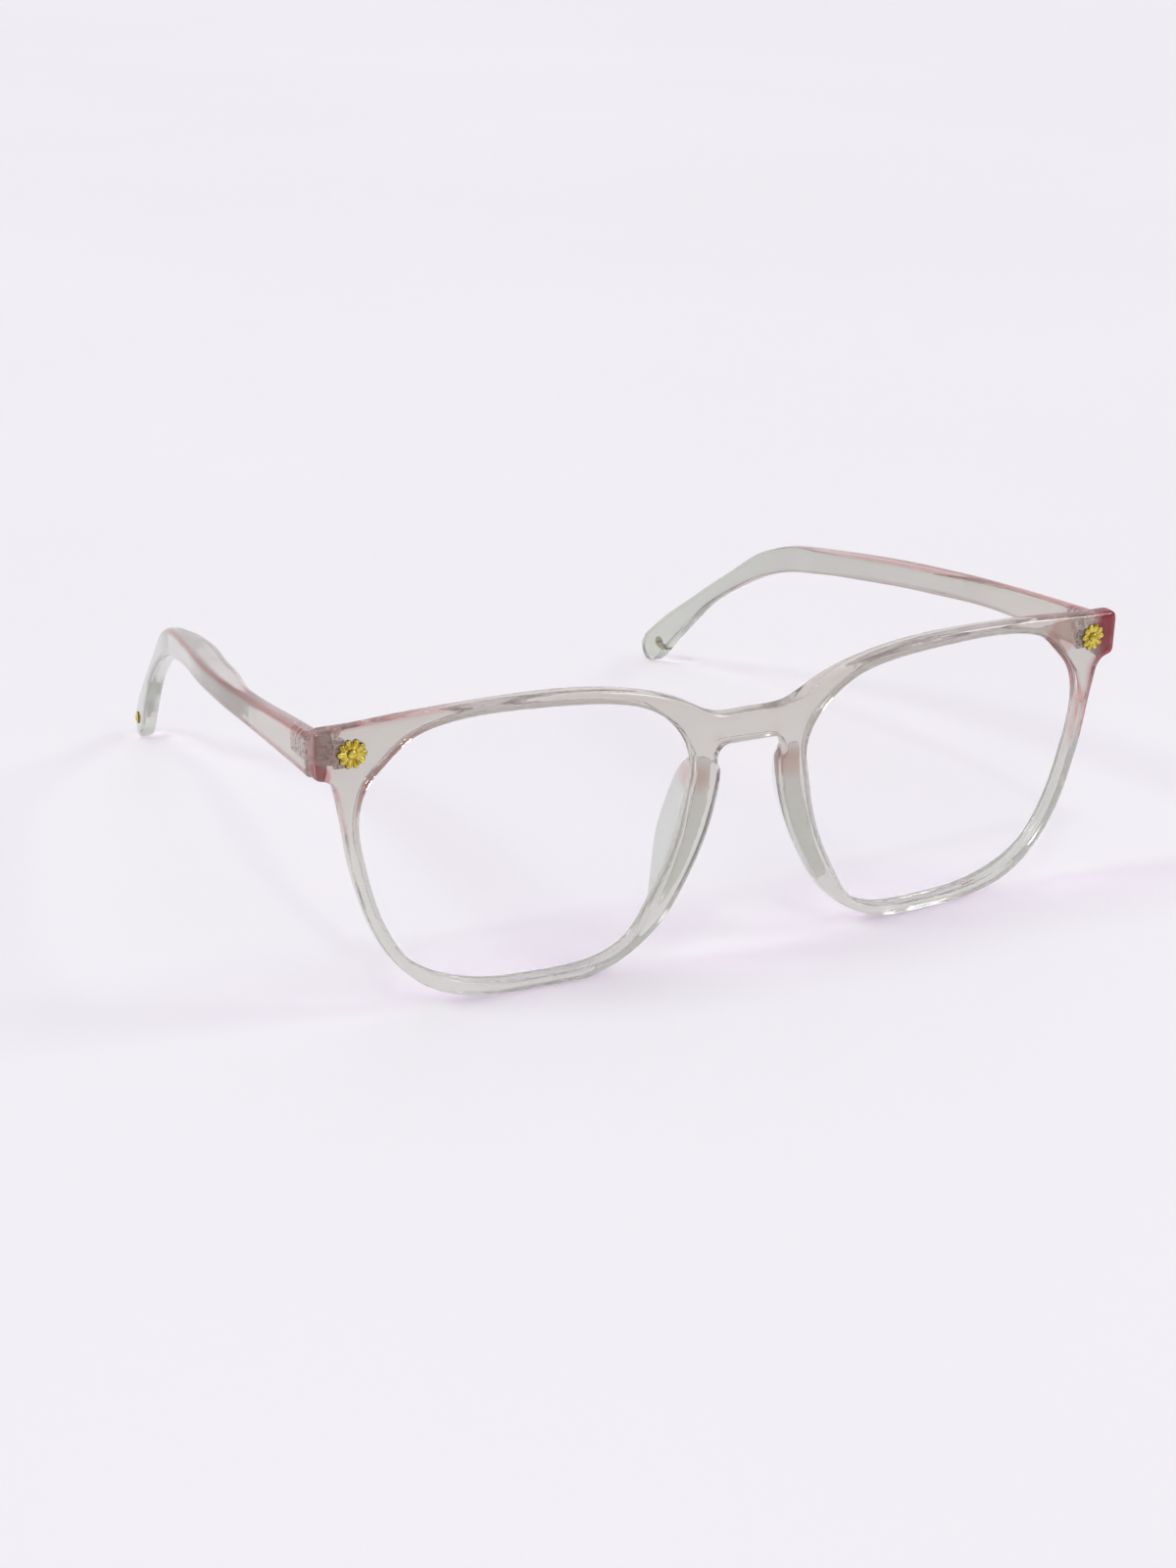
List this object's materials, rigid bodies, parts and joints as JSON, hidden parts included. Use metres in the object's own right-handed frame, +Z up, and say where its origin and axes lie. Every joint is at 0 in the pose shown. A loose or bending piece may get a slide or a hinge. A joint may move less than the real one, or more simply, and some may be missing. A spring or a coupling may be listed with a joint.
{
  "type": "square eyeglasses",
  "caption": "Square eyeglasses with a clear plastic front, flat clear lenses, bonded nose pads and clear temples that fold on barrel hinges.",
  "frame": {"origin": "middle of the footprint of the open glasses, on the table they rest on", "axes": "+X across the front towards the right temple as seen from in front, +Y from the front back to the temple tips, +Z up"},
  "size_m": [0.1386, 0.128, 0.0466],
  "materials": {
    "clear_front": "polished clear plastic with a faint pink grey tint",
    "clear_temple": "polished clear plastic",
    "clear_pad": "polished clear plastic",
    "lens": "clear, polished",
    "hinge_steel": "satin",
    "screw_steel": "bright",
    "gold_trim": "polished gold plate"
  },
  "bodies": {
    "front": {"front_frame": "clear_front", "lens_left": "lens", "lens_right": "lens", "nose_pad_left": "clear_pad", "nose_pad_right": "clear_pad", "front_hinge_leaf_left": "hinge_steel", "front_hinge_leaf_right": "hinge_steel", "hinge_screw_left": "screw_steel", "hinge_screw_right": "screw_steel", "front_rosette_left": "gold_trim", "front_rosette_right": "gold_trim"},
    "temple_left": {"temple_left": "clear_temple", "temple_hinge_leaf_left": "hinge_steel", "tip_stud_left": "gold_trim"},
    "temple_right": {"temple_right": "clear_temple", "temple_hinge_leaf_right": "hinge_steel", "tip_stud_right": "gold_trim"}
  },
  "joints": [
    {"name": "temple_fold_left", "type": "hinge", "parent": "front", "child": "temple_left", "pos_m": [-0.0651, -0.05614, 0.0411], "axis": [0, 0, -1], "range_deg": [0, 82]},
    {"name": "temple_fold_right", "type": "hinge", "parent": "front", "child": "temple_right", "pos_m": [0.0651, -0.05614, 0.0411], "axis": [0, 0, 1], "range_deg": [0, 76]}
  ]
}
